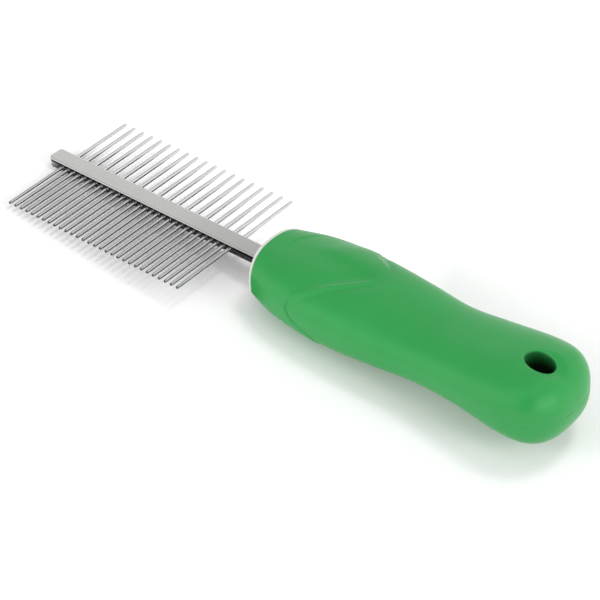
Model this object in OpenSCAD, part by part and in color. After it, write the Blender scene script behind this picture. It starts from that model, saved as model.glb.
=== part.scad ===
// Double-sided grooming comb: a plated bar with a coarse and a fine row of steel pins,
// held in a rigid handle core with a soft grip moulded over it.
// Frame: +X from the comb's free end to the handle's tail, +Y towards the coarse row, +Z up.
// The origin is the middle of the base of the whole object's box.

/* [Bar] */
// Width of the bar between the two tooth rows
bar_width = 6.5; // [5.5:0.1:8]
// Thickness of the bar
bar_thick = 3.4; // [2.8:0.1:4]
// Radius of the bar's four long edges
bar_edge = 0.5; // [0.3:0.1:1]
// Radius of the bar's corners at its free end, seen from above
bar_corner = 1.6; // [1:0.1:2.4]
// Bare bar before the first tooth
bar_lead = 6.4; // [4:0.2:10]
// Bare bar between the last tooth and the handle
bar_gap = 15.2; // [8:0.2:20]
// Length of the tang, the part of the bar inside the handle
tang_len = 46; // [30:1:60]

/* [Teeth] */
// Number of teeth in the coarse row
coarse_count = 19; // [10:1:22]
// Number of teeth in the fine row
fine_count = 30; // [16:1:34]
// Distance between coarse teeth; the fine row shares the coarse row's length
coarse_pitch = 4.2; // [3.6:0.1:5]
// Diameter of a coarse tooth
coarse_dia = 1.3; // [1:0.1:1.6]
// Diameter of a fine tooth
fine_dia = 1.1; // [0.8:0.1:1.3]
// Length of a tooth outside the bar
tooth_len = 25.4; // [15:0.2:35]
// Length of a tooth's root inside the bar
tooth_root = 2.4; // [1.5:0.1:2.6]
// Length of the slight taper behind a tooth's round tip
tip_taper = 1.5; // [1:0.5:6]
// Radius of a tooth's tip, as a share of the tooth's own
tip_share = 0.92; // [0.5:0.02:1]

/* [Handle] */
// Length of the grip along the handle
grip_len = 116.6; // [105:0.2:130]
// Radius of the handle's bowed front, seen from above
front_bow = 44; // [24:1:60]
// Width of the rim of the core that shows in front of the grip
rim_width = 1.2; // [0.8:0.1:2]
// Thickness of the grip over the core
skin = 2.4; // [1.8:0.1:2.8]
// Squareness of the handle's cross-section, where 2 is an ellipse
squareness = 2.7; // [2:0.1:3.2]
// Length of the tail's rounding, seen from above
tail_round = 18.8; // [15:0.2:24]
// Length of the tail's rounding, seen from the side
tail_dome = 11.8; // [9:0.2:16]

/* [Hanging hole] */
// Distance of the hole's middle from the tail's end
hole_inset = 13.2; // [12:0.2:16]
// Width of the oval hole, across the handle
hole_width = 7.4; // [5:0.1:8]
// Length of the oval hole, along the handle
hole_length = 9.6; // [8.4:0.1:11]
// Distance of the middle of the shallow scoop around the hole from the tail's end
scoop_inset = 12; // [10:0.2:14]
// Radius of the scoop
scoop_radius = 7.2; // [6.5:0.1:9]
// Depth of the scoop
scoop_depth = 1.6; // [0.5:0.1:2.2]

/* [Hidden] */
// Handle stations: share of the grip's length behind its front, half width,
// and height above and depth below the bar's middle
STATIONS = [
    [-0.059, 10.2, 10, 4.7],
    [0.027, 14.7, 9.9, 6.8],
    [0.112, 17.7, 10.6, 8.5],
    [0.223, 19.0, 10.9, 10.3],
    [0.334, 18.8, 10.5, 10.3],
    [0.455, 17.9, 9.4, 9.4],
    [0.581, 16.5, 8.8, 8.4],
    [0.713, 17.2, 10.5, 8.2],
    [0.834, 18.2, 12.1, 10.6],
    [1, 18.4, 12.9, 13.6]
];
HALF_WIDTH = 1;
HEIGHT = 2;
DEPTH = 3;

// Fineness of round surfaces, and of the lofted handle along and around it
ROUND = 48;
TOOTH_ROUND = 24;
RINGS_BODY = 26;
RINGS_TAIL = 12;
LAST_RING = 88;
SIDES = 40;

row_len = coarse_pitch * (coarse_count - 1);
fine_pitch = row_len / (fine_count - 1);
total_len = bar_lead + row_len + bar_gap + rim_width + grip_len;
bar_x = -total_len / 2;
row_x = bar_x + bar_lead;
front_x = total_len / 2 - grip_len;

// Shape of the tail's rounding: 2 would be a quarter ellipse
PLAN_POWER = 2.46;
SIDE_POWER = 2.2;
// Far enough in front of the grip for the rim to be cut from the same loft
LOFT_START = -rim_width - 1;
CUT = 80;

function label(row, i) = str(row, "_tooth_", i < 10 ? "0" : "", i);

// Slope of a station's value, taken across its neighbours
function slope(column, k) =
    let (low = max(k - 1, 0), high = min(k + 1, len(STATIONS) - 1))
    (STATIONS[high][column] - STATIONS[low][column]) / (STATIONS[high][0] - STATIONS[low][0]);

// Smooth curve through one column of the stations
function along(share, column, k = 0) =
    k < len(STATIONS) - 2 && share > STATIONS[k + 1][0] ? along(share, column, k + 1) :
    let (
        gap = STATIONS[k + 1][0] - STATIONS[k][0],
        t = (share - STATIONS[k][0]) / gap
    )
    STATIONS[k][column] * (2 * t + 1) * pow(1 - t, 2)
    + STATIONS[k + 1][column] * (3 - 2 * t) * pow(t, 2)
    + slope(column, k) * gap * t * pow(1 - t, 2)
    - slope(column, k + 1) * gap * (1 - t) * pow(t, 2);

// Share of the full size that is left where the tail rounds off
function tail(x, length, power) =
    pow(1 - pow(min(1, max(0, (x - grip_len + length) / length)), power), 1 / power);

function half_width(x) = along(x / grip_len, HALF_WIDTH) * tail(x, tail_round, PLAN_POWER);
function height(x) = along(x / grip_len, HEIGHT) * tail(x, tail_dome, SIDE_POWER);
function depth(x) = along(x / grip_len, DEPTH) * tail(x, tail_dome, SIDE_POWER);

// Places of the loft's rings: even along the body, closing up towards the tail's end
function ring_places() = concat(
    [for (i = [0:RINGS_BODY - 1])
        LOFT_START + (grip_len - tail_round - LOFT_START) * i / RINGS_BODY],
    [for (i = [0:RINGS_TAIL])
        grip_len - tail_round * (1 - sin(LAST_RING * i / RINGS_TAIL))]
);

// Depth of the handle at x, beside the scoop where there is one
function lowest(x) =
    let (chord = sqrt(max(0, pow(scoop_radius, 2) - pow(x - grip_len + scoop_inset, 2))))
    depth(x) * pow(1 - pow(min(1, chord / half_width(x)), squareness), 1 / squareness);

// Height of the bar's middle above the object's base
mid_z = max([for (x = ring_places()) lowest(x)]);

// One signed coordinate of the rounded-square cross-section
function bulge(value) = sign(value) * pow(abs(value), 2 / squareness);

// Ring of points around the handle, pulled in by the inset
function ring(x, inset) = [
    for (j = [0:SIDES - 1])
        let (a = 360 * j / SIDES, up = bulge(sin(a)))
        [
            x,
            (half_width(x) - inset) * bulge(cos(a)),
            ((up > 0 ? height(x) : depth(x)) - inset) * up
        ]
];

// Closed loft through the rings, with its two ends capped
module handle_loft(inset, places) {
    rings = [for (x = places) each ring(x, inset)];
    last = len(places) - 1;
    polyhedron(
        points = rings,
        faces = concat(
            [[for (j = [0:SIDES - 1]) j]],
            [for (i = [0:last - 1], j = [0:SIDES - 1])
                let (a = i * SIDES + j, b = i * SIDES + (j + 1) % SIDES)
                each [[a, a + SIDES, b], [b, a + SIDES, b + SIDES]]],
            [[for (j = [SIDES - 1:-1:0]) last * SIDES + j]]
        )
    );
}

// Places of the core's rings, which stop short of the tail's end
function core_places() = [for (x = ring_places()) if (x < grip_len - skin) x];

// Everything behind the bowed front, which is moved back by the given distance
module behind_front(back) {
    translate([back + front_bow, 0, -CUT / 2])
        linear_extrude(CUT)
            union() {
                circle(r = front_bow, $fn = 4 * ROUND);
                translate([0, -front_bow]) square([2 * CUT, 2 * front_bow]);
            }
}

// Oval opening with round ends, right through the handle
module hole(margin) {
    reach = (hole_length - hole_width) / 2;
    radius = hole_width / 2 + margin;
    translate([grip_len - hole_inset, 0, -CUT / 2]) {
        for (side = [-1, 1])
            translate([side * reach, 0, 0]) cylinder(h = CUT, r = radius, $fn = ROUND);
        translate([-reach, -radius, 0]) cube([2 * reach, 2 * radius, CUT]);
    }
}

// Shallow round scoop at each mouth of the hole
module scoops() {
    ball = (pow(scoop_radius, 2) + pow(scoop_depth, 2)) / (2 * scoop_depth);
    x = grip_len - scoop_inset;
    translate([x, 0, height(x) - scoop_depth + ball]) sphere(r = ball, $fn = 2 * ROUND);
    translate([x, 0, -depth(x) + scoop_depth - ball]) sphere(r = ball, $fn = 2 * ROUND);
}

// The inside of the handle that the rigid core fills, with the eye around the hole
module core_body() {
    difference() {
        handle_loft(skin, core_places());
        hole(skin);
    }
}

// Cross-section of the bar with its rounded long edges
module bar_section() {
    inner_y = bar_width / 2 - bar_edge;
    inner_z = bar_thick / 2 - bar_edge;
    square([2 * inner_z, bar_width], center = true);
    square([bar_thick, 2 * inner_y], center = true);
    for (y = [-1, 1], z = [-1, 1])
        translate([z * inner_z, y * inner_y]) circle(r = bar_edge, $fn = TOOTH_ROUND);
}

// Plan of the bar, with the two corners of its free end rounded
module bar_plan(length) {
    inner_y = bar_width / 2 - bar_corner;
    translate([bar_corner, -bar_width / 2]) square([length - bar_corner, bar_width]);
    translate([0, -inner_y]) square([length, 2 * inner_y]);
    for (side = [-1, 1])
        translate([bar_corner, side * inner_y]) circle(r = bar_corner, $fn = ROUND);
}

// The bar with its tang, lying along +X from its free end
module bar() {
    length = bar_lead + row_len + bar_gap + rim_width + tang_len;
    intersection() {
        rotate([0, 90, 0]) linear_extrude(length) bar_section();
        translate([0, 0, -bar_thick]) linear_extrude(2 * bar_thick) bar_plan(length);
    }
}

// Straight round pin standing on +Z, with its root below zero
module pin(radius) {
    tip = radius * tip_share;
    translate([0, 0, -tooth_root])
        cylinder(h = tooth_root + tooth_len - tip_taper, r = radius, $fn = TOOTH_ROUND);
    translate([0, 0, tooth_len - tip_taper])
        cylinder(h = tip_taper - tip, r1 = radius, r2 = tip, $fn = TOOTH_ROUND);
    translate([0, 0, tooth_len - tip]) sphere(r = tip, $fn = TOOTH_ROUND);
}

// Blind holes for one row of pins, drilled into the bar's edge
module drillings(count, pitch, radius, side) {
    for (i = [0:count - 1])
        translate([bar_lead + i * pitch, side * bar_width / 2, 0])
            rotate([side * 90, 0, 0])
                translate([0, 0, -bar_width / 2])
                    cylinder(h = bar_width / 2 + tooth_root, r = radius, $fn = TOOTH_ROUND);
}

module spine() {
    color("silver")
        translate([bar_x, 0, mid_z])
            difference() {
                bar();
                drillings(coarse_count, coarse_pitch, coarse_dia / 2, 1);
                drillings(fine_count, fine_pitch, fine_dia / 2, -1);
            }
}

module coarse_tooth(i) {
    color("gainsboro")
        translate([row_x + (i - 1) * coarse_pitch, bar_width / 2, mid_z])
            rotate([-90, 0, 0]) pin(coarse_dia / 2);
}

module fine_tooth(i) {
    color("gainsboro")
        translate([row_x + (i - 1) * fine_pitch, -bar_width / 2, mid_z])
            rotate([90, 0, 0]) pin(fine_dia / 2);
}

module handle_core() {
    color("whitesmoke")
        difference() {
            translate([front_x, 0, mid_z])
                union() {
                    intersection() {
                        core_body();
                        behind_front(0);
                    }
                    difference() {
                        intersection() {
                            handle_loft(0, ring_places());
                            behind_front(-rim_width);
                        }
                        behind_front(0);
                    }
                }
            translate([bar_x, 0, mid_z]) bar();
        }
}

module grip() {
    color("mediumseagreen")
        translate([front_x, 0, mid_z])
            difference() {
                intersection() {
                    handle_loft(0, ring_places());
                    behind_front(0);
                }
                core_body();
                hole(0);
                scoops();
            }
}

spine();
handle_core();
grip();
for (i = [1:coarse_count])
    coarse_tooth(i);
for (i = [1:fine_count])
    fine_tooth(i);
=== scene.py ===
"""Looks of a double-sided grooming comb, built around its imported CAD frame.

Sizes are millimetres and angles are degrees, turned into metres and radians where Blender takes them.
On the handle, x runs back from the middle of the grip's bowed front, and y and z are measured from
the middle of the bar: +y towards the coarse teeth, +z up.
"""
import math

import bmesh
import bpy
import numpy as np
from mathutils import Matrix, Vector


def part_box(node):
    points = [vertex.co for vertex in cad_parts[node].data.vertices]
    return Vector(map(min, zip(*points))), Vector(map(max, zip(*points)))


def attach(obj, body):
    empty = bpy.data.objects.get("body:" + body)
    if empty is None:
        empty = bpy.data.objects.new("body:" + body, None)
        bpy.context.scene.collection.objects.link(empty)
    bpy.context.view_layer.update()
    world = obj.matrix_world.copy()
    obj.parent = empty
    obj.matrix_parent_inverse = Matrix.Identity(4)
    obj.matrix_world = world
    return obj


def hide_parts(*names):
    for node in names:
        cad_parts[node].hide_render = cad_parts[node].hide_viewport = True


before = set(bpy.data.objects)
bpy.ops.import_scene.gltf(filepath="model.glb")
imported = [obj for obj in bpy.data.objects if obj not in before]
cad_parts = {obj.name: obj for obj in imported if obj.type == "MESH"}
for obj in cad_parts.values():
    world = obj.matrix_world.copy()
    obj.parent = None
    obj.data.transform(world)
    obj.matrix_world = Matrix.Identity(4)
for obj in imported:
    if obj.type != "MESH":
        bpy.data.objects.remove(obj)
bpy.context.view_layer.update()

MM = 0.001
ROOT = "root"

# The frame's own places
grip_low, grip_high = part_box("grip")
spine_low, spine_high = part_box("spine")
fine_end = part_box("fine_tooth_01")[0].y
front_x = grip_low.x / MM
free_x = spine_low.x / MM
mid_z = (spine_low.z + spine_high.z) / 2 / MM
bar_half_width = spine_high.y / MM
bar_half_thick = (spine_high.z - spine_low.z) / 2 / MM
tang_end = spine_high.x / MM - front_x
GRIP_LEN = (grip_high.x - grip_low.x) / MM

# The handle's shape, as in the CAD model: share of the grip's length, half width,
# height above and depth below the bar's middle
STATIONS = np.array([
    [-0.059, 10.2, 10.0, 4.7],
    [0.027, 14.7, 9.9, 6.8],
    [0.112, 17.7, 10.6, 8.5],
    [0.223, 19.0, 10.9, 10.3],
    [0.334, 18.8, 10.5, 10.3],
    [0.455, 17.9, 9.4, 9.4],
    [0.581, 16.5, 8.8, 8.4],
    [0.713, 17.2, 10.5, 8.2],
    [0.834, 18.2, 12.1, 10.6],
    [1.0, 18.4, 12.9, 13.6],
])
HALF_WIDTH, HEIGHT, DEPTH = 1, 2, 3
SQUARENESS = 2.7
# The CAD handle is faceted. The smooth one lies this much inside its curve, to stay in its box
FACET_SAG = 0.17
# The tail's rounding, seen from above and from the side: its length, and its power, where 2 would
# be a quarter ellipse
TAIL_ROUND, PLAN_POWER = 18.8, 2.46
TAIL_DOME, SIDE_POWER = 11.8, 2.2
# The bowed front: its radius seen from above, how far back rows follow it, and the rounds in which
# such a row settles
FRONT_BOW = 44.0
BOW_FADE = 27.0
BOW_ROUNDS = 6
# Width of the core's rim in front of the grip, and thickness of the grip over the core
RIM_WIDTH = 1.2
SKIN = 2.4

# The hanging hole, and the oval scoop around each of its mouths
HOLE_INSET = 13.2
HOLE_HALF_LENGTH = 4.8
HOLE_HALF_WIDTH = 3.7
HOLE_POWER = 2.25
MOUTH_FILLET = 0.55
SCOOP_INSET = 11.0
SCOOP_HALF_LENGTH = 7.0
SCOOP_HALF_WIDTH = 5.3
SCOOP_DEPTH = 2.0
SCOOP_BLEND = 0.06
# Scoop and mouth are only carved where the surface is this far from the bar's middle
CARVE_BEYOND = 4
HOLE_X = GRIP_LEN - HOLE_INSET

# Half of the edge where the grip's front part ends: distance behind the front, and angle around
# the section from +y over the top. The other half is the same, turned half a turn about the handle.
OVERLAP_EDGE = [
    (32.2, 49), (35.1, 57), (37.9, 64), (39.5, 75), (39.9, 84), (39.2, 89.5), (37.7, 92), (34.1, 101),
    (30.3, 112), (26.3, 127), (23.1, 140), (20.9, 155), (20.2, 168), (21.4, 178), (23.7, 182), (27, 188),
    (30, 196), (31.3, 210),
]


# ---------------------------------------------------------------- handle surface

def slope(column, k):
    """Slope of a station's value, taken across its neighbours."""
    low = np.maximum(k - 1, 0)
    high = np.minimum(k + 1, len(STATIONS) - 1)
    rise = STATIONS[high, column] - STATIONS[low, column]
    return rise / (STATIONS[high, 0] - STATIONS[low, 0])


def along(share, column):
    """Smooth curve through one column of the stations."""
    k = np.clip(np.searchsorted(STATIONS[:, 0], share) - 1, 0, len(STATIONS) - 2)
    gap = STATIONS[k + 1, 0] - STATIONS[k, 0]
    t = (share - STATIONS[k, 0]) / gap
    return (
        STATIONS[k, column] * (2 * t + 1) * (1 - t) ** 2
        + STATIONS[k + 1, column] * (3 - 2 * t) * t ** 2
        + slope(column, k) * gap * t * (1 - t) ** 2
        - slope(column, k + 1) * gap * (1 - t) * t ** 2
    )


def tail(x, length, power):
    """Share of the full size that is left where the tail rounds off."""
    t = np.clip((x - GRIP_LEN + length) / length, 0, 1)
    return (1 - t ** power) ** (1 / power)


def half_width(x):
    return along(x / GRIP_LEN, HALF_WIDTH) * tail(x, TAIL_ROUND, PLAN_POWER)


def height(x):
    return along(x / GRIP_LEN, HEIGHT) * tail(x, TAIL_DOME, SIDE_POWER)


def depth(x):
    return along(x / GRIP_LEN, DEPTH) * tail(x, TAIL_DOME, SIDE_POWER)


def bulge(value, squareness=SQUARENESS):
    """One signed coordinate of the rounded-square section."""
    return np.sign(value) * np.abs(value) ** (2 / squareness)


def section(x, angle, inset):
    """y and z of the handle's surface at x, at an angle around it, pulled in by the inset."""
    inset = inset + FACET_SAG
    up = bulge(np.sin(angle))
    reach = np.where(up > 0, height(x), depth(x))
    y = np.maximum(half_width(x) - inset, 0) * bulge(np.cos(angle))
    return y, np.maximum(reach - inset, 0) * up


def bow(y):
    """How far the front lies behind its middle, at y."""
    return FRONT_BOW - np.sqrt(FRONT_BOW ** 2 - y ** 2)


def bowed_section(row_x, angle, inset):
    """Points on a row that is bowed like the front near it and straight further back."""
    fade = np.clip(1 - np.maximum(row_x, 0) / BOW_FADE, 0, 1) ** 2
    x = row_x + 0 * angle
    for _ in range(BOW_ROUNDS):
        y, z = section(x, angle, inset)
        x = row_x + bow(y) * fade
    return x, y, z


# ---------------------------------------------------------------- hole and scoops

def hole_half_width(x, margin):
    """Half of the oval hole's width at x, or zero outside it."""
    share = np.minimum(np.abs(x - HOLE_X) / (HOLE_HALF_LENGTH + margin), 1)
    return (HOLE_HALF_WIDTH + margin) * (1 - share ** HOLE_POWER) ** (1 / HOLE_POWER)


def hole_distance(x, y):
    """Distance from the oval hole's wall, seen from above."""
    along_hole = np.abs(x - HOLE_X) / HOLE_HALF_LENGTH
    across_hole = np.abs(y) / HOLE_HALF_WIDTH
    size = np.maximum(along_hole ** HOLE_POWER + across_hole ** HOLE_POWER, 1) ** (1 / HOLE_POWER)
    return np.hypot(x - HOLE_X, y) * (1 - 1 / size)


def scoop_drop(x, y):
    """How far the scoop lies below the surface around it, with its rim slightly rounded."""
    reach = ((x - GRIP_LEN + SCOOP_INSET) / SCOOP_HALF_LENGTH) ** 2 + (y / SCOOP_HALF_WIDTH) ** 2
    bowl = SCOOP_DEPTH * (1 - reach)
    return 0.5 * (bowl + np.sqrt(bowl ** 2 + SCOOP_BLEND ** 2)) * (reach < 2)


def mouth_drop(x, y):
    """How far the rounded mouth of the hole lies below the surface around it."""
    left = MOUTH_FILLET - np.minimum(hole_distance(x, y), MOUTH_FILLET)
    return MOUTH_FILLET - np.sqrt(MOUTH_FILLET ** 2 - left ** 2)


# ---------------------------------------------------------------- rows and columns of the handle

# The grip's outside: row places on its front edge, then how far apart rows are in front of the
# overlap and over it, and how many rows its other stretches have
EDGE_ROWS = [0, 0.05, 0.14, 0.28, 0.5, 0.8]
FRONT_START, FRONT_STEP = 1.2, 0.45
OVERLAP_START, OVERLAP_END, OVERLAP_STEP = 17, 43, 0.33
BODY_ROWS = 66
NEAR_HOLE, NEAR_ROWS = 5, 14
MOUTH_SHARES = np.array([0.25, 0.5, 0.72, 0.88])
HOLE_STEPS = 12
TAIL_ROWS = 38
# The surface between grip and core: its steps at the hole, and its rows before and behind it
INNER_HOLE_STEPS = 6
INNER_BODY_ROWS, INNER_TAIL_ROWS = 18, 6
BEFORE_INNER_HOLE, BEHIND_INNER_HOLE = 1.0, 0.5
# Columns from the top line to the side, how much they close up at both, and how finely their
# spacing is measured
GRIP_COLUMNS = 72
CORE_COLUMNS = 36
COLUMN_CROWDING = 0.55
COLUMN_SAMPLES = 1500
# Points from the top to the bottom of the hole's wall
WALL_POINTS = 15
TINY = 1e-6


def spaced(count, ends):
    """Shares from 0 to 1 that lie closer together at both ends."""
    t = np.linspace(0, 1, count + 1)
    return t - ends * np.sin(2 * np.pi * t) / (2 * np.pi)


def quarter(x, start, sign, inset, count):
    """Angles from the hole's wall at y = start to the side, spaced by their distance apart. Where
    there is no hole, start is 0. The sign is 1 over the top and -1 under the bottom."""
    width = max(half_width(x) - inset, TINY)
    first = math.acos(min(start / width, 1) ** (SQUARENESS / 2))
    fine = np.linspace(first, 0, COLUMN_SAMPLES)
    y, z = section(x + 0 * fine, sign * fine, inset)
    run = np.concatenate([[0], np.cumsum(np.hypot(np.diff(y), np.diff(z)))])
    return sign * np.interp(spaced(count, COLUMN_CROWDING) * run[-1], run, fine)


def side_angles(x, start, inset, count):
    """Angles from the top line over the side to the bottom line."""
    top = quarter(x, start, 1, inset, count)
    bottom = quarter(x, start, -1, inset, count)[::-1]
    return np.concatenate([top, bottom[1:]])


def hole_rows(margin, steps):
    """Row places along the oval hole, closing up towards its two ends."""
    turn = np.radians(np.linspace(0, 90, steps + 1))
    end = (HOLE_HALF_LENGTH + margin) * np.cos(turn)
    return HOLE_X + np.concatenate([-end, end[-2::-1]])


def tail_rows(first, count):
    """Row places that shrink the section evenly, from the first place to the tail's end."""
    share = np.linspace(tail(first, TAIL_ROUND, PLAN_POWER), 0, count + 1)[1:]
    t = (1 - share ** PLAN_POWER) ** (1 / PLAN_POWER)
    return GRIP_LEN - TAIL_ROUND * (1 - t)


def outer_rows():
    """Row places of the grip's outside, closer where it has more detail."""
    front = np.arange(FRONT_START, OVERLAP_START, FRONT_STEP)
    overlap = np.arange(front[-1] + OVERLAP_STEP, OVERLAP_END, OVERLAP_STEP)
    hole = hole_rows(0, HOLE_STEPS)
    start = hole[0] - MOUTH_FILLET
    body = np.linspace(overlap[-1], start - NEAR_HOLE, BODY_ROWS)[1:]
    near = np.linspace(start - NEAR_HOLE, start, NEAR_ROWS)[1:]
    before = start + MOUTH_FILLET * MOUTH_SHARES
    end = hole[-1] + MOUTH_FILLET
    after = end - MOUTH_FILLET * MOUTH_SHARES[::-1]
    close = tail_rows(end, TAIL_ROWS)
    return np.concatenate([EDGE_ROWS, front, overlap, body, near, before, hole, after, [end], close])


def inner_rows():
    """Row places of the surface between the grip and the core."""
    hole = hole_rows(SKIN, INNER_HOLE_STEPS)
    body = np.linspace(0, hole[0] - BEFORE_INNER_HOLE, INNER_BODY_ROWS)
    close = np.linspace(hole[-1] + BEHIND_INNER_HOLE, GRIP_LEN - SKIN, INNER_TAIL_ROWS)
    return np.concatenate([body, hole, close])


def half_shell(rows, insets, margin, side, count, carve):
    """One side of the handle's surface, from its top line round to its bottom line, and the
    hole's wall on that side. The hole is wider by the margin. Returns two grids of points."""
    grid = []
    wall = []
    for x, inset in zip(rows, insets):
        angle = side_angles(x, float(hole_half_width(x, margin)), inset, count)
        px, y, z = bowed_section(x, angle, inset)
        if carve:
            drop = (mouth_drop(px, y) + scoop_drop(px, y)) * (np.abs(z) > CARVE_BEYOND)
            z = np.where(angle > 0, z - drop, z + drop)
        row = np.stack([px, side * y, z], axis=1)
        grid.append(row)
        if abs(x - HOLE_X) < HOLE_HALF_LENGTH + margin + TINY:
            share = np.linspace(0, 1, WALL_POINTS)[:, None]
            wall.append(row[-1] * (1 - share) + row[0] * share)
    return np.array(grid), np.array(wall)


# ---------------------------------------------------------------- mesh making

# Points closer than this are welded into one
WELD_DISTANCE = 0.002


class Skin:
    """Grids of points that are welded into one mesh."""

    def __init__(self):
        self.points = []
        self.faces = []

    def add(self, grid, flip):
        """Adds a grid of points and the quads between them, turned over if flip is set."""
        first = sum(len(p) for p in self.points)
        rows, columns = grid.shape[:2]
        index = first + np.arange(rows * columns).reshape(rows, columns)
        quads = np.stack([index[:-1, :-1], index[1:, :-1], index[1:, 1:], index[:-1, 1:]], axis=-1)
        quads = quads.reshape(-1, 4)
        self.faces.append(quads[:, ::-1] if flip else quads)
        self.points.append(grid.reshape(-1, 3))

    def mesh(self, name):
        """Mesh in the comb's frame, welded where the grids meet, with its faces turned outwards."""
        points = (np.concatenate(self.points) + [front_x, 0, mid_z]) * MM
        data = bpy.data.meshes.new(name)
        data.from_pydata(points.tolist(), [], np.concatenate(self.faces).tolist())
        work = bmesh.new()
        work.from_mesh(data)
        bmesh.ops.remove_doubles(work, verts=work.verts, dist=WELD_DISTANCE * MM)
        bmesh.ops.recalc_face_normals(work, faces=work.faces)
        work.to_mesh(data)
        work.free()
        data.shade_smooth()
        return data


def piece(name, data, material):
    """Object of that mesh, riding on the comb's one body."""
    data.materials.append(material)
    item = bpy.data.objects.new(name, data)
    bpy.context.scene.collection.objects.link(item)
    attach(item, ROOT)
    return item


# ---------------------------------------------------------------- relief of the grip

# Stretches of the overlap's edge, counted in points of OVERLAP_EDGE: the pad's curved end, the
# raised ridge beside it, and the groove around the front of the side panel
CRESCENT_END = 4.4
RIDGE_END = 10.8
GROOVE_END = 17.2
# How gently one stretch turns into the next: along the edge in its points, and beside it in mm
STRETCH_BLEND = 1.2
KIND_BLEND = 1.2
# Samples of the smooth edge between two of its points
EDGE_SAMPLES = 12
# Points further back than this are taken to be this far from the edge
EDGE_REACH, FAR_OFF = 60, 50.0
# Chunks that the points are measured in, to save memory
EDGE_CHUNKS = 60

# The lip along the ridge and the crescent, and the dip behind it. Each is given for the ridge,
# with its share of that on the crescent
LIP_HEIGHT, LIP_HALF = 0.45, 0.8
CRESCENT_LIP = 1.15
BEHIND_DEPTH, BEHIND_PLACE, BEHIND_HALF = 0.3, 1.4, 1.8
CRESCENT_BEHIND = 0.9
# The valley in front of the ridge, and the groove
VALLEY_DEPTH, VALLEY_PLACE, VALLEY_HALF = 0.3, 3.2, 2.0
GROOVE_DEPTH, GROOVE_HALF = 0.5, 0.42

# The raised thumb pad: the step and the dome at its edge, and where it starts, is full and ends
PAD_STEP, PAD_STEP_WIDTH = 0.6, 1.2
PAD_DOME, PAD_DOME_WIDTH = 0.3, 6.0
PAD_FRONT, PAD_FULL = 6.0, 20.0
PAD_BACK, PAD_FADE = 44.0, 4.0

# The shallow blank recess on the pad: its middle and half size along and across the handle
RECESS_PLACE = (13.0, 1.0)
RECESS_HALF = (7.0, 12.0)
# Its corners, where 2 would be an ellipse, how much it leans, its depth, and how wide its edge is
# and how far it runs out towards the back
RECESS_POWER = 1.7
RECESS_SKEW = 0.12
RECESS_DEPTH = 0.2
RECESS_EDGE = 0.9
RECESS_FADE = 9.0

# The mould's parting line around the tail
PARTING_DEPTH, PARTING_HALF = 0.12, 0.16
PARTING_START, PARTING_FADE = 90, 12

# Points count as outside from this size in the section on, where the surface has size 1, and fully
# so from this far behind the front. Half sizes near the tail's end are kept above the smallest
OUTSIDE_SIZE, OUTSIDE_BLEND = 0.72, 0.1
OUTSIDE_FRONT = 1.5
SMALLEST_HALF = 0.1


def overlap_curve():
    """Closed curve on the handle where its front part ends, and each point's share of the way
    round half of it."""
    half = np.array(OVERLAP_EDGE, float)
    turned = half + [0, 180]
    knots = np.concatenate([half, turned])
    count = len(knots)
    wrap = [0, 360]
    before = np.concatenate([[knots[-1] - wrap], knots[:-1]])
    after = np.concatenate([knots[1:], [knots[0] + wrap]])
    beyond = np.concatenate([knots[2:], knots[:2] + wrap])
    points = []
    share = []
    for t in np.linspace(0, 1, EDGE_SAMPLES, endpoint=False):
        points.append(0.5 * (
            2 * knots + (after - before) * t
            + (2 * before - 5 * knots + 4 * after - beyond) * t ** 2
            + (3 * knots - before - 3 * after + beyond) * t ** 3
        ))
        share.append((np.arange(count) + t) % len(half))
    points = np.stack(points, axis=1).reshape(-1, 2)
    share = np.stack(share, axis=1).reshape(-1)
    angle = np.radians(points[:, 1])
    y, z = section(points[:, 0], angle, 0)
    return np.stack([points[:, 0], y, z], axis=1), share


def smooth(value):
    """Gentle step from 0 to 1 as the value does."""
    value = np.clip(value, 0, 1)
    return value * value * (3 - 2 * value)


def between(value, low, high, blend):
    """One inside the range and zero outside it, blended at both ends."""
    return smooth((value - low) / blend + 0.5) * (1 - smooth((value - high) / blend + 0.5))


def hump(value, half):
    """Bell of height 1 around zero."""
    return np.exp(-(value / half) ** 2)


def edge_distance(points, normals):
    """Signed distance to the overlap's edge, positive on its front side, and how much each of
    its three stretches counts there: crescent, ridge and groove."""
    curve, share = overlap_curve()
    ahead = np.roll(curve, -1, axis=0) - curve
    length = np.sum(ahead ** 2, axis=1)
    ridge = between(share, CRESCENT_END, RIDGE_END, STRETCH_BLEND)
    groove = between(share, RIDGE_END, GROOVE_END, STRETCH_BLEND)
    kinds = np.stack([1 - ridge - groove, ridge, groove], axis=1)
    signed = np.full(len(points), FAR_OFF)
    weight = np.zeros((len(points), 3))
    near = np.nonzero(points[:, 0] < EDGE_REACH)[0]
    for chunk in np.array_split(near, EDGE_CHUNKS):
        offset = points[chunk][:, None, :] - curve[None]
        t = np.clip(np.sum(offset * ahead[None], axis=2) / length, 0, 1)
        gap = offset - t[..., None] * ahead[None]
        size = np.sqrt(np.sum(gap ** 2, axis=2))
        best = np.argmin(size, axis=1)
        rows = np.arange(len(chunk))
        cross = np.cross(ahead[best], normals[chunk])
        turn = np.sign(np.sum(cross * gap[rows, best], axis=1))
        nearest = size[rows, best]
        signed[chunk] = nearest * turn
        pull = np.exp((nearest[:, None] - size) / KIND_BLEND) * np.sqrt(length)
        weight[chunk] = pull @ kinds / pull.sum(axis=1)[:, None]
    return signed, weight


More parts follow.
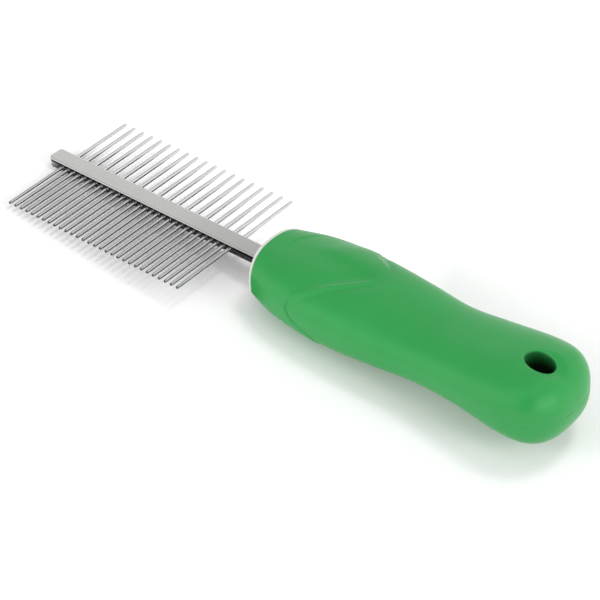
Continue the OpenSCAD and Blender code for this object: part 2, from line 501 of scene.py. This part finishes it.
def overlap_relief(points, normals):
    """Height of the pad, its lip and the side panel's groove above the plain surface."""
    d, weight = edge_distance(points, normals)
    crescent, ridge, groove = weight.T
    pad = PAD_STEP * smooth(d / PAD_STEP_WIDTH) + PAD_DOME * smooth(d / PAD_DOME_WIDTH)
    rise = smooth((points[:, 0] - PAD_FRONT) / (PAD_FULL - PAD_FRONT))
    relief = pad * crescent * rise * smooth((PAD_BACK - points[:, 0]) / PAD_FADE)
    relief += LIP_HEIGHT * hump(d, LIP_HALF) * (ridge + CRESCENT_LIP * crescent)
    relief -= BEHIND_DEPTH * hump(d + BEHIND_PLACE, BEHIND_HALF) * (ridge + CRESCENT_BEHIND * crescent)
    relief -= VALLEY_DEPTH * hump(d - VALLEY_PLACE, VALLEY_HALF) * ridge
    relief -= GROOVE_DEPTH * hump(d, GROOVE_HALF) * groove
    return relief


def recess(points):
    """Share of the blank recess's depth at a point. It runs out gently towards the back."""
    side = np.sign(points[:, 2])
    y = points[:, 1] * side
    lean = RECESS_SKEW * (y - RECESS_PLACE[1])
    back = points[:, 0] - RECESS_PLACE[0] + lean - y ** 2 / (2 * FRONT_BOW)
    u = np.abs(back) / RECESS_HALF[0]
    v = np.abs(y - RECESS_PLACE[1]) / RECESS_HALF[1]
    size = (u ** RECESS_POWER + v ** RECESS_POWER) ** (1 / RECESS_POWER)
    return smooth((1 - size) * RECESS_HALF[0] / RECESS_EDGE) * smooth(0.5 - back / RECESS_FADE)


def grip_relief(points, normals):
    """Height of the grip's small details above its plain surface."""
    behind = smooth((points[:, 0] - PARTING_START) / PARTING_FADE)
    parting = PARTING_DEPTH * hump(points[:, 2], PARTING_HALF) * behind
    return overlap_relief(points, normals) - RECESS_DEPTH * recess(points) - parting


def outside_share(points):
    """One on the grip's outside, zero inside it and at its front edge."""
    x, y, z = points.T
    reach = np.maximum(np.where(z > 0, height(x), depth(x)), SMALLEST_HALF)
    wide = np.maximum(half_width(x), SMALLEST_HALF)
    size = (np.abs(y) / wide) ** SQUARENESS + (np.abs(z) / reach) ** SQUARENESS
    return smooth((size - OUTSIDE_SIZE) / OUTSIDE_BLEND) * smooth(x / OUTSIDE_FRONT)


def carve_details(data):
    """Moves the grip's outer points along their normals by its relief."""
    count = len(data.vertices)
    places = np.empty(count * 3, np.float32)
    data.vertices.foreach_get("co", places)
    normals = np.empty(count * 3, np.float32)
    data.vertex_normals.foreach_get("vector", normals)
    places = places.reshape(-1, 3).astype(float)
    normals = normals.reshape(-1, 3).astype(float)
    local = places / MM - [front_x, 0, mid_z]
    shift = grip_relief(local, normals) * outside_share(local) * MM
    moved = places + normals * shift[:, None]
    data.vertices.foreach_set("co", moved.astype(np.float32).reshape(-1))
    data.update()


# ---------------------------------------------------------------- grip and core

# Radii of the front edges of the grip and of the core's rim
GRIP_EDGE = 0.35
RIM_EDGE = 0.5
# The back and the side of the core's rim: place behind the front, and inset
RIM_SIDE = [(0, SKIN), (0, 1.2), (0, 0.25), (-0.12, 0.06), (-0.3, 0)]
# Rings over the rim's rounded edge, and over its face
RIM_TURNS = 7
FACE_RINGS = 10
# The slot that the tang lies in: its corners, its play, and where its first rings are
SLOT_SQUARENESS = 9
SLOT_GAP = 0.12
SLOT_STARTS = (0.4, 6)


def edge_inset(x, radius):
    """How far a rounded edge of that radius pulls the surface in at x behind the edge."""
    left = radius - np.minimum(np.maximum(x, 0), radius)
    return radius - np.sqrt(radius ** 2 - left ** 2)


def build_grip(material):
    """The soft grip: its outside, its inside against the core, its front edge and the hole."""
    skin = Skin()
    rows = outer_rows()
    inner = inner_rows()
    inner_insets = SKIN + 0 * inner
    for side in (1, -1):
        outside, wall = half_shell(rows, edge_inset(rows, GRIP_EDGE), 0, side, GRIP_COLUMNS, True)
        skin.add(outside, side < 0)
        skin.add(wall, side < 0)
        inside, wall = half_shell(inner, inner_insets, SKIN, side, GRIP_COLUMNS, False)
        skin.add(inside, side > 0)
        skin.add(wall, side > 0)
        skin.add(np.stack([inside[0], outside[0]]), side < 0)
    data = skin.mesh("grip_shell")
    carve_details(data)
    item = piece("grip_shell", data, material)
    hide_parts("grip")
    return item


def slot_ring(angle, side, x):
    """Half of the slot's outline at x."""
    y = (bar_half_width + SLOT_GAP) * bulge(np.cos(angle), SLOT_SQUARENESS)
    z = (bar_half_thick + SLOT_GAP) * bulge(np.sin(angle), SLOT_SQUARENESS)
    return np.stack([x + 0 * y, side * y, z], axis=1)


def rim_profile():
    """Place and inset of each ring over the rim, ending with its rounded front edge."""
    turns = np.radians(np.linspace(0, 90, RIM_TURNS))
    over = [(RIM_EDGE * (1 - math.sin(a)) - RIM_WIDTH, RIM_EDGE * (1 - math.cos(a))) for a in turns]
    return RIM_SIDE + over


def rim_half(side, angle):
    """One side of the core's front: its rim, its bowed face, and the slot that the tang lies in."""
    rows = []
    for x, inset in rim_profile():
        px, y, z = bowed_section(x, angle, inset)
        rows.append(np.stack([px, side * y, z], axis=1))
    outer = rows[-1]
    inner = slot_ring(angle, side, 0)
    for share in np.linspace(0, 1, FACE_RINGS)[1:]:
        ring = outer * (1 - share) + inner * share
        ring[:, 0] = bow(ring[:, 1]) - RIM_WIDTH
        rows.append(ring)
    for x in (*SLOT_STARTS, tang_end):
        rows.append(slot_ring(angle, side, x))
    last = rows[-1].copy()
    last[:, 1:] = 0
    rows.append(last)
    return np.array(rows)


def build_core(material):
    """The rigid core under the grip, with the rim and face that show in front of it."""
    skin = Skin()
    inner = inner_rows()
    insets = SKIN + 0 * inner
    for side in (1, -1):
        body, wall = half_shell(inner, insets, SKIN, side, CORE_COLUMNS, False)
        skin.add(body, side < 0)
        skin.add(wall, side < 0)
        skin.add(rim_half(side, side_angles(0.0, 0.0, SKIN, CORE_COLUMNS)), side > 0)
    item = piece("core_moulding", skin.mesh("core_moulding"), material)
    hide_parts("handle_core")


# ---------------------------------------------------------------- nodes of materials

WHITE = (1, 1, 1, 1)
BLACK = (0, 0, 0, 1)


def new_material(name):
    """Empty node material with its surface shader, and the object's own coordinates."""
    material = bpy.data.materials.new(name)
    material.use_nodes = True
    tree = material.node_tree
    tree.nodes.clear()
    output = tree.nodes.new("ShaderNodeOutputMaterial")
    shader = tree.nodes.new("ShaderNodeBsdfPrincipled")
    tree.links.new(shader.outputs["BSDF"], output.inputs["Surface"])
    place = tree.nodes.new("ShaderNodeTexCoord").outputs["Object"]
    return material, tree, shader, place


def coordinate(tree, place, axis):
    """X, Y or Z of a place, in metres."""
    parts = tree.nodes.new("ShaderNodeSeparateXYZ")
    tree.links.new(place, parts.inputs["Vector"])
    return parts.outputs[axis]


def stretched(tree, place, scale):
    node = tree.nodes.new("ShaderNodeMapping")
    node.inputs["Scale"].default_value = scale
    tree.links.new(place, node.inputs["Vector"])
    return node.outputs["Vector"]


def oval_distance(tree, place, middle, half):
    """Distance from the middle of an oval seen from above, one on its outline."""
    inside = tree.nodes.new("ShaderNodeMapping")
    inside.vector_type = "TEXTURE"
    inside.inputs["Location"].default_value = Vector((*middle, 0)) * MM
    inside.inputs["Scale"].default_value = Vector((*half, 1 / MM)) * MM
    tree.links.new(place, inside.inputs["Vector"])
    flat = tree.nodes.new("ShaderNodeVectorMath")
    flat.operation = "MULTIPLY"
    flat.inputs[1].default_value = (1, 1, 0)
    tree.links.new(inside.outputs["Vector"], flat.inputs[0])
    size = tree.nodes.new("ShaderNodeVectorMath")
    size.operation = "LENGTH"
    tree.links.new(flat.outputs["Vector"], size.inputs[0])
    return size.outputs["Value"]


def noise(tree, place, size, detail=3, roughness=0.5):
    """Noise whose grains are about that many millimetres across."""
    node = tree.nodes.new("ShaderNodeTexNoise")
    node.inputs["Scale"].default_value = 1 / (size * MM)
    node.inputs["Detail"].default_value = detail
    node.inputs["Roughness"].default_value = roughness
    tree.links.new(place, node.inputs["Vector"])
    return node.outputs["Fac"]


def ramp(tree, value, stops):
    """Colours or greys blended by a value. A stop is its place and its colour."""
    node = tree.nodes.new("ShaderNodeValToRGB")
    line = node.color_ramp.elements
    while len(line) < len(stops):
        line.new(0.5)
    for element, (place, colour) in zip(line, stops):
        element.position = place
        element.color = (*colour, 1) if isinstance(colour, tuple) else (colour, colour, colour, 1)
    tree.links.new(value, node.inputs["Fac"])
    return node.outputs["Color"]


def varied(tree, value, first, second):
    """Blend from the first to the second over a noise's usual range."""
    return ramp(tree, value, [(0.3, first), (0.7, second)])


def bright_ramp(tree, value, stops):
    """Grey that runs between two levels, which may be over one."""
    node = tree.nodes.new("ShaderNodeMapRange")
    (low, dark), (high, light) = stops
    for socket, number in (("From Min", low), ("From Max", high), ("To Min", dark), ("To Max", light)):
        node.inputs[socket].default_value = number
    tree.links.new(value, node.inputs["Value"])
    return node.outputs["Result"]


def mixed(tree, first, second, share, mode="MIX"):
    """Blend of two colours. Each input is a value or another output."""
    node = tree.nodes.new("ShaderNodeMix")
    node.data_type = "RGBA"
    node.blend_type = mode
    for socket, value in (("A_Color", first), ("B_Color", second), ("Factor_Float", share)):
        target = next(s for s in node.inputs if s.identifier == socket)
        if isinstance(value, bpy.types.NodeSocket):
            tree.links.new(value, target)
        else:
            target.default_value = value
    return next(s for s in node.outputs if s.identifier == "Result_Color")


def multiplied(tree, first, second):
    return mixed(tree, first, second, 1.0, "MULTIPLY")


def added(tree, first, second):
    return mixed(tree, first, second, 1.0, "ADD")


def bumped(tree, shader, value, height, strength):
    """Bump of that height in millimetres."""
    node = tree.nodes.new("ShaderNodeBump")
    node.inputs["Strength"].default_value = strength
    node.inputs["Distance"].default_value = height * MM
    tree.links.new(value, node.inputs["Height"])
    tree.links.new(node.outputs["Normal"], shader.inputs["Normal"])


# ---------------------------------------------------------------- materials

# Rubber and moulding: darkest and lightest colour, and smoothest and roughest finish
GRIP_DARK, GRIP_LIGHT = (0.0215, 0.284, 0.0605), (0.0255, 0.308, 0.0685)
GRIP_SMOOTHEST, GRIP_ROUGHEST = 0.30, 0.35
CORE_DARK, CORE_LIGHT = (0.6, 0.62, 0.57), (0.65, 0.66, 0.62)
CORE_SMOOTHEST, CORE_ROUGHEST = 0.38, 0.48
# Brightness of the rubber's specks, and colour of its sheen
GRIP_SPECK = 0.94
GRIP_SHEEN = (0.75, 1.0, 0.8, 1)
# How far red, green and blue light spread inside the moulding
CORE_SPREAD = Vector((3.0, 3.0, 2.5))

# Painted shade on the wall of the hole: how far above or below the bar's middle it is darkest and
# lightest, and how bright it is there. The painted shade starts and is full at these sizes of the hole
# seen from above
HOLE_DARK, HOLE_LIGHT = 6.5, 11.5
HOLE_SHADE, MOUTH_SHADE = 0.06, 0.5
WALL_OUTSIDE, WALL_INSIDE = 1.1, 1.05

# Painted dark reflection in a thin line around the bar's sides, and painted dimming of the highlight on
# its bevel: brightness at shares of the way up the sides
BAR_PAINTED_LINE = [(0.6, 1.0), (0.66, 0.1), (0.84, 0.1), (0.9, 0.6), (0.98, 0.65), (0.995, 1.0)]
# Painted reflection that darkens the bar towards the handle: its brightness at shares of the way from
# its free end to the handle
BAR_PAINTED_FALL = [(0.0, 1.0), (0.58, 0.94), (0.7, 0.85), (1.0, 0.7)]
# Painted dark reflection on the fine teeth's round tips: brightness at a tooth's very tip, and how far
# behind it the painted darkening ends
TIP_PAINTED_SHADE, TIP_LENGTH = 0.04, 0.75


def hole_painted_shade(tree, place):
    """Painted shade: grey that is white on the outside and dark on the hole's wall, deeper than its mouths.
    """
    z = coordinate(tree, place, "Z")
    above = bright_ramp(tree, z, [((mid_z + HOLE_DARK) * MM, 0.0), ((mid_z + HOLE_LIGHT) * MM, 1.0)])
    below = bright_ramp(tree, z, [((mid_z - HOLE_DARK) * MM, 0.0), ((mid_z - HOLE_LIGHT) * MM, 1.0)])
    inside = ramp(tree, added(tree, above, below), [(0.0, HOLE_SHADE), (1.0, MOUTH_SHADE)])
    size = oval_distance(tree, place, (front_x + HOLE_X, 0), (HOLE_HALF_LENGTH, HOLE_HALF_WIDTH))
    return mixed(tree, inside, WHITE, bright_ramp(tree, size, [(WALL_INSIDE, 0.0), (WALL_OUTSIDE, 1.0)]))


def grip_material():
    """Satin soft-touch rubber: even green, faint cloudiness, fine grain, and painted shade inside the hole.
    """
    material, tree, shader, place = new_material("grip_rubber_green")
    cloud = noise(tree, place, size=22, roughness=0.55)
    grain = noise(tree, place, size=0.35, detail=4, roughness=0.6)
    speck = ramp(tree, grain, [(0.35, GRIP_SPECK), (0.65, 1.0)])
    colour = multiplied(tree, varied(tree, cloud, GRIP_DARK, GRIP_LIGHT), speck)
    # Painted shade on the hole's wall
    colour = multiplied(tree, colour, hole_painted_shade(tree, place))
    tree.links.new(colour, shader.inputs["Base Color"])
    tree.links.new(varied(tree, cloud, GRIP_SMOOTHEST, GRIP_ROUGHEST), shader.inputs["Roughness"])
    bumped(tree, shader, grain, height=0.010, strength=0.5)
    shader.inputs["Specular IOR Level"].default_value = 0.35
    shader.inputs["Sheen Weight"].default_value = 0.05
    shader.inputs["Sheen Roughness"].default_value = 0.4
    shader.inputs["Sheen Tint"].default_value = GRIP_SHEEN
    return material


def core_material():
    """Natural white moulding, slightly translucent."""
    material, tree, shader, place = new_material("core_plastic_white")
    cloud = noise(tree, place, size=9)
    grain = noise(tree, place, size=0.3)
    tree.links.new(varied(tree, cloud, CORE_DARK, CORE_LIGHT), shader.inputs["Base Color"])
    tree.links.new(varied(tree, grain, CORE_SMOOTHEST, CORE_ROUGHEST), shader.inputs["Roughness"])
    bumped(tree, shader, grain, height=0.008, strength=0.5)
    shader.inputs["Subsurface Weight"].default_value = 0.15
    shader.inputs["Subsurface Radius"].default_value = CORE_SPREAD * MM
    shader.inputs["Subsurface Scale"].default_value = 0.5
    return material


def bar_painted_reflection(tree, place):
    """Painted reflection: grey with a thin dark line around the bar's sides, just below its top, a dimmed
    bevel, and darker towards the handle."""
    rise = bright_ramp(tree, coordinate(tree, place, "Z"), [(spine_low.z, 0.0), (spine_high.z, 1.0)])
    run = bright_ramp(tree, coordinate(tree, place, "X"), [(spine_low.x, 0.0), (grip_low.x, 1.0)])
    return multiplied(tree, ramp(tree, rise, BAR_PAINTED_LINE), ramp(tree, run, BAR_PAINTED_FALL))


def tip_painted_reflection(tree, place):
    """Painted reflection: grey that is white, but for the fine teeth's dark round tips."""
    stops = [(fine_end, TIP_PAINTED_SHADE), (fine_end + TIP_LENGTH * MM, 1.0)]
    return bright_ramp(tree, coordinate(tree, place, "Y"), stops)


def metal_material(name, dark, light, smoothest, roughest, streak_width, stretch, mark, shade=None):
    """Plated metal with drawn streaks along the stretch, small marks and uneven gloss."""
    material, tree, shader, place = new_material(name)
    shader.inputs["Metallic"].default_value = 1.0
    streak = noise(tree, stretched(tree, place, stretch), streak_width)
    cloud = noise(tree, place, size=5)
    marks = noise(tree, place, size=0.6, detail=5, roughness=0.7)
    colour = multiplied(tree, varied(tree, cloud, dark, light), ramp(tree, marks, [(0.28, mark), (0.4, 1.0)]))
    # Painted dark reflection, on the metals that are given it
    if shade is not None:
        colour = multiplied(tree, colour, shade(tree, place))
    tree.links.new(colour, shader.inputs["Base Color"])
    gloss = mixed(tree, streak, cloud, 0.4)
    tree.links.new(varied(tree, gloss, smoothest, roughest), shader.inputs["Roughness"])
    bumped(tree, shader, streak, height=0.004, strength=0.25)
    return material


def bar_material():
    return metal_material(
        "bar_plating_nickel", dark=(0.94, 0.94, 0.925), light=(0.97, 0.97, 0.955),
        smoothest=0.24, roughest=0.29, streak_width=0.8, stretch=(0.05, 1, 1), mark=0.96, shade=bar_painted_reflection,
    )


# The fine and coarse teeth are one steel, given as a darker copy for painted shade on the fine row and a
# lighter copy for painted light on the coarse row
def fine_material():
    return metal_material(
        "fine_tooth_steel_painted_shade", dark=(0.54, 0.54, 0.54), light=(0.62, 0.62, 0.62),
        smoothest=0.12, roughest=0.2, streak_width=0.3, stretch=(1, 0.04, 1), mark=0.86, shade=tip_painted_reflection,
    )


def coarse_material():
    return metal_material(
        "coarse_tooth_steel_painted_light", dark=(0.72, 0.72, 0.72), light=(0.8, 0.8, 0.8),
        smoothest=0.14, roughest=0.22, streak_width=0.3, stretch=(1, 0.04, 1), mark=0.9,
    )


def dress_metal():
    """Gives the bar and every tooth its plated finish. The fine and coarse rows get a painted shade and a
    painted light copy of one steel.
    """
    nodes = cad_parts
    nodes["spine"].material_slots[0].material = bar_material()
    fine = fine_material()
    coarse = coarse_material()
    for name in sorted(nodes):
        if name.startswith("fine_tooth_"):
            nodes[name].material_slots[0].material = fine
        if name.startswith("coarse_tooth_"):
            nodes[name].material_slots[0].material = coarse


# ---------------------------------------------------------------- studio

CAMERA_AZIMUTH = 41.9
CAMERA_ELEVATION = 39.0
CAMERA_ROLL = -3.21
CAMERA_DISTANCE = 710.2
CAMERA_AIM = (9.8, -9.7)
CAMERA_LENS = 135.9
CAMERA_NEAR, CAMERA_FAR = 10, 50000

# The sweep: its size and whites, and the gap under the comb
FLOOR_SIZE = 6000
FLOOR_DARK, FLOOR_LIGHT = 0.93, 0.94
FLOOR_GAP = 0.1
# Its own glow far out, so that it stays white to its end: where it starts and is full
GLOW_START, GLOW_FULL = 350, 900
FLOOR_GLOW = 0.36
# Painted light: its own glow in an oval under the coarse teeth, lifting their shadows so that it is plain
# white between them
BRIGHT_MIDDLE, BRIGHT_HALF = (-50, 32), (85, 32)
BRIGHT_FULL = 0.75
BRIGHT_GLOW = 0.3
# How dark it is in reflections, in an oval under the teeth
FLOOR_REFLECTED = 0.06
UNDER_MIDDLE, UNDER_HALF = -8, 36
UNDER_MARGIN, UNDER_FULL = 6, 0.85

# Each lamp: azimuth, elevation, width, height, watts
LAMPS = {
    "key": (160, 68, 300, 300, 2.8),
    "softbox_left": (-32, 24, 500, 500, 5.4),
    "softbox_right": (95, 25, 500, 500, 4.6),
}
LAMP_DISTANCE = 1200

# Light of the tent on matt surfaces, at the horizon and high up, and the sine of the elevation
# where the second starts
TENT_LOW, TENT_HIGH = 1.14, 0.62
TENT_TOP = 0.8
# The tent in reflections: its brightness, and for each patch its azimuth and elevation, the angles
# from its middle where it is full and ends, and its brightness against the tent's
TENT_SHEEN = 0.95
TENT_PATCHES = [(-105, 50, 15, 42, 0.4), (78, 15, 12, 36, 2.8), (-30, 20, 20, 45, 1.4)]
# The dark upright slit in the tent's front, and the cosines ahead where it fades in
SLIT_AZIMUTH = 26
SLIT_INNER, SLIT_OUTER = 12, 22
SLIT_AHEAD = (0.4, 0.6)


def floor_slope(grip):
    """Rise of the floor along +X, so that the comb rests on its bar's end and the grip's belly."""
    places = np.array([v.co for v in grip.data.vertices])
    return float(np.min((places[:, 2] - spine_low.z) / (places[:, 0] - spine_low.x)))


def floor_reflection(tree, place, glossy):
    """White, but dark under the teeth in reflections, so that the teeth read as polished."""
    middle = ((free_x + front_x) / 2, UNDER_MIDDLE)
    half = ((front_x - free_x) / 2 + UNDER_MARGIN, UNDER_HALF)
    dim = ramp(tree, oval_distance(tree, place, middle, half), [(UNDER_FULL, FLOOR_REFLECTED), (1.0, 1.0)])
    return mixed(tree, WHITE, dim, glossy)


def floor_glow(tree, place, glossy):
    """The sweep's own glow, far out, and under the coarse teeth as painted light over their shadows.
    The near one isn't reflected.
    """
    out = oval_distance(tree, place, (0, 0), (1, 1))
    far = bright_ramp(tree, out, [(GLOW_START, 0.0), (GLOW_FULL, FLOOR_GLOW)])
    oval = oval_distance(tree, place, BRIGHT_MIDDLE, BRIGHT_HALF)
    near = bright_ramp(tree, oval, [(BRIGHT_FULL, BRIGHT_GLOW), (1.0, 0.0)])
    return added(tree, far, mixed(tree, near, BLACK, glossy))


def floor_material():
    """Matt white sweep."""
    material, tree, shader, place = new_material("studio_sweep")
    cloud = noise(tree, place, size=300, detail=2)
    glossy = tree.nodes.new("ShaderNodeLightPath").outputs["Is Glossy Ray"]
    white = varied(tree, cloud, FLOOR_DARK, FLOOR_LIGHT)
    colour = multiplied(tree, white, floor_reflection(tree, place, glossy))
    tree.links.new(colour, shader.inputs["Base Color"])
    shader.inputs["Roughness"].default_value = 0.9
    shader.inputs["Specular IOR Level"].default_value = 0.0
    shader.inputs["Emission Color"].default_value = WHITE
    tree.links.new(floor_glow(tree, place, glossy), shader.inputs["Emission Strength"])
    return material


def build_floor(tilt):
    half = FLOOR_SIZE * MM / 2
    corners = [(-half, -half), (half, -half), (half, half), (-half, half)]
    low = spine_low.z - FLOOR_GAP * MM
    data = bpy.data.meshes.new("floor")
    points = [(x, y, low + (x - spine_low.x) * tilt) for x, y in corners]
    data.from_pydata(points, [], [(0, 1, 2, 3)])
    data.materials.append(floor_material())
    floor = bpy.data.objects.new("floor", data)
    bpy.context.scene.collection.objects.link(floor)


def direction(azimuth, elevation, up):
    """Unit vector towards an azimuth and an elevation above the floor."""
    a, e = math.radians(azimuth), math.radians(elevation)
    flat = Vector((math.sin(a), -math.cos(a), 0))
    flat = (flat - up * flat.dot(up)).normalized()
    return flat * math.cos(e) + up * math.sin(e)


def build_lamps(up):
    """Soft lamps around the comb, each turned towards it."""
    for name, (azimuth, elevation, width, tall, power) in LAMPS.items():
        light = bpy.data.lights.new(name, "AREA")
        light.shape = "RECTANGLE"
        light.size = width * MM
        light.size_y = tall * MM
        light.energy = power
        back = direction(azimuth, elevation, up)
        lamp = bpy.data.objects.new(name, light)
        turn = back.to_track_quat("Z", "Y").to_matrix().to_4x4()
        lamp.matrix_world = Matrix.Translation(back * LAMP_DISTANCE * MM) @ turn
        lamp.visible_glossy = False
        bpy.context.scene.collection.objects.link(lamp)


def facing(tree, heading, target):
    """Cosine between a direction and a fixed one."""
    node = tree.nodes.new("ShaderNodeVectorMath")
    node.operation = "DOT_PRODUCT"
    node.inputs[1].default_value = target
    tree.links.new(heading, node.inputs[0])
    return node.outputs["Value"]


def sines(*angles):
    return [math.sin(math.radians(angle)) for angle in angles]


def tent_slit(tree, heading, up):
    """White, but for the dark upright slit between the two front softboxes."""
    front = direction(SLIT_AZIMUTH, 0, up)
    aside = tree.nodes.new("ShaderNodeMath")
    aside.operation = "ABSOLUTE"
    tree.links.new(facing(tree, heading, front.cross(up)), aside.inputs[0])
    inner, outer = sines(SLIT_INNER, SLIT_OUTER)
    slit = ramp(tree, aside.outputs["Value"], [(inner, 0.0), (outer, 1.0)])
    start, full = SLIT_AHEAD
    ahead = ramp(tree, facing(tree, heading, front), [(start, 0.0), (full, 1.0)])
    return mixed(tree, WHITE, slit, ahead)


def tent_sheen(tree, heading, up):
    """The tent as reflections show it, with its slit and its brighter and darker patches."""
    sheen = tent_slit(tree, heading, up)
    for azimuth, elevation, inner, outer, brightness in TENT_PATCHES:
        toward = facing(tree, heading, direction(azimuth, elevation, up))
        start, full = sines(90 - outer, 90 - inner)
        sheen = multiplied(tree, sheen, bright_ramp(tree, toward, [(start, 1.0), (full, brightness)]))
    return multiplied(tree, sheen, (TENT_SHEEN, TENT_SHEEN, TENT_SHEEN, 1))


def build_world(up):
    """Light tent: its walls light matt surfaces evenly, glossy ones show its patches, and it is
    plain white behind the comb."""
    world = bpy.data.worlds.new("studio")
    world.use_nodes = True
    world.cycles.sampling_method = "NONE"
    bpy.context.scene.world = world
    tree = world.node_tree
    heading = tree.nodes.new("ShaderNodeTexCoord").outputs["Generated"]
    sheen = tent_sheen(tree, heading, up)
    matt = bright_ramp(tree, facing(tree, heading, up), [(0, TENT_LOW), (TENT_TOP, TENT_HIGH)])
    path = tree.nodes.new("ShaderNodeLightPath")
    seen = mixed(tree, matt, sheen, path.outputs["Is Glossy Ray"])
    seen = mixed(tree, seen, WHITE, path.outputs["Is Camera Ray"])
    tree.links.new(seen, tree.nodes["Background"].inputs["Color"])


def build_camera():
    """Long lens above the fine teeth's side, looking over the handle to the free end."""
    azimuth, elevation, roll = map(math.radians, (CAMERA_AZIMUTH, CAMERA_ELEVATION, CAMERA_ROLL))
    flat = Vector((math.cos(azimuth), math.sin(azimuth), 0))
    back = Vector((
        math.sin(azimuth) * math.cos(elevation),
        -math.cos(azimuth) * math.cos(elevation),
        math.sin(elevation),
    ))
    over = back.cross(flat)
    right = flat * math.cos(roll) + over * math.sin(roll)
    up = back.cross(right)
    place = Vector((*CAMERA_AIM, mid_z)) + back * CAMERA_DISTANCE
    data = bpy.data.cameras.new("camera")
    data.lens = CAMERA_LENS
    data.clip_start = CAMERA_NEAR * MM
    data.clip_end = CAMERA_FAR * MM
    camera = bpy.data.objects.new("camera", data)
    turn = Matrix((right, up, back)).transposed().to_4x4()
    camera.matrix_world = Matrix.Translation(place * MM) @ turn
    bpy.context.scene.collection.objects.link(camera)
    bpy.context.scene.camera = camera


def build_studio(grip):
    """Floor, lamps and tent, set by the way the comb lies on the floor, and the camera."""
    tilt = floor_slope(grip)
    up = Vector((-tilt, 0, 1)).normalized()
    build_floor(tilt)
    build_lamps(up)
    build_world(up)
    build_camera()
    bpy.context.scene.view_settings.view_transform = "Standard"


grip_shell = build_grip(grip_material())
build_core(core_material())
dress_metal()
build_studio(grip_shell)

bpy.context.view_layer.update()
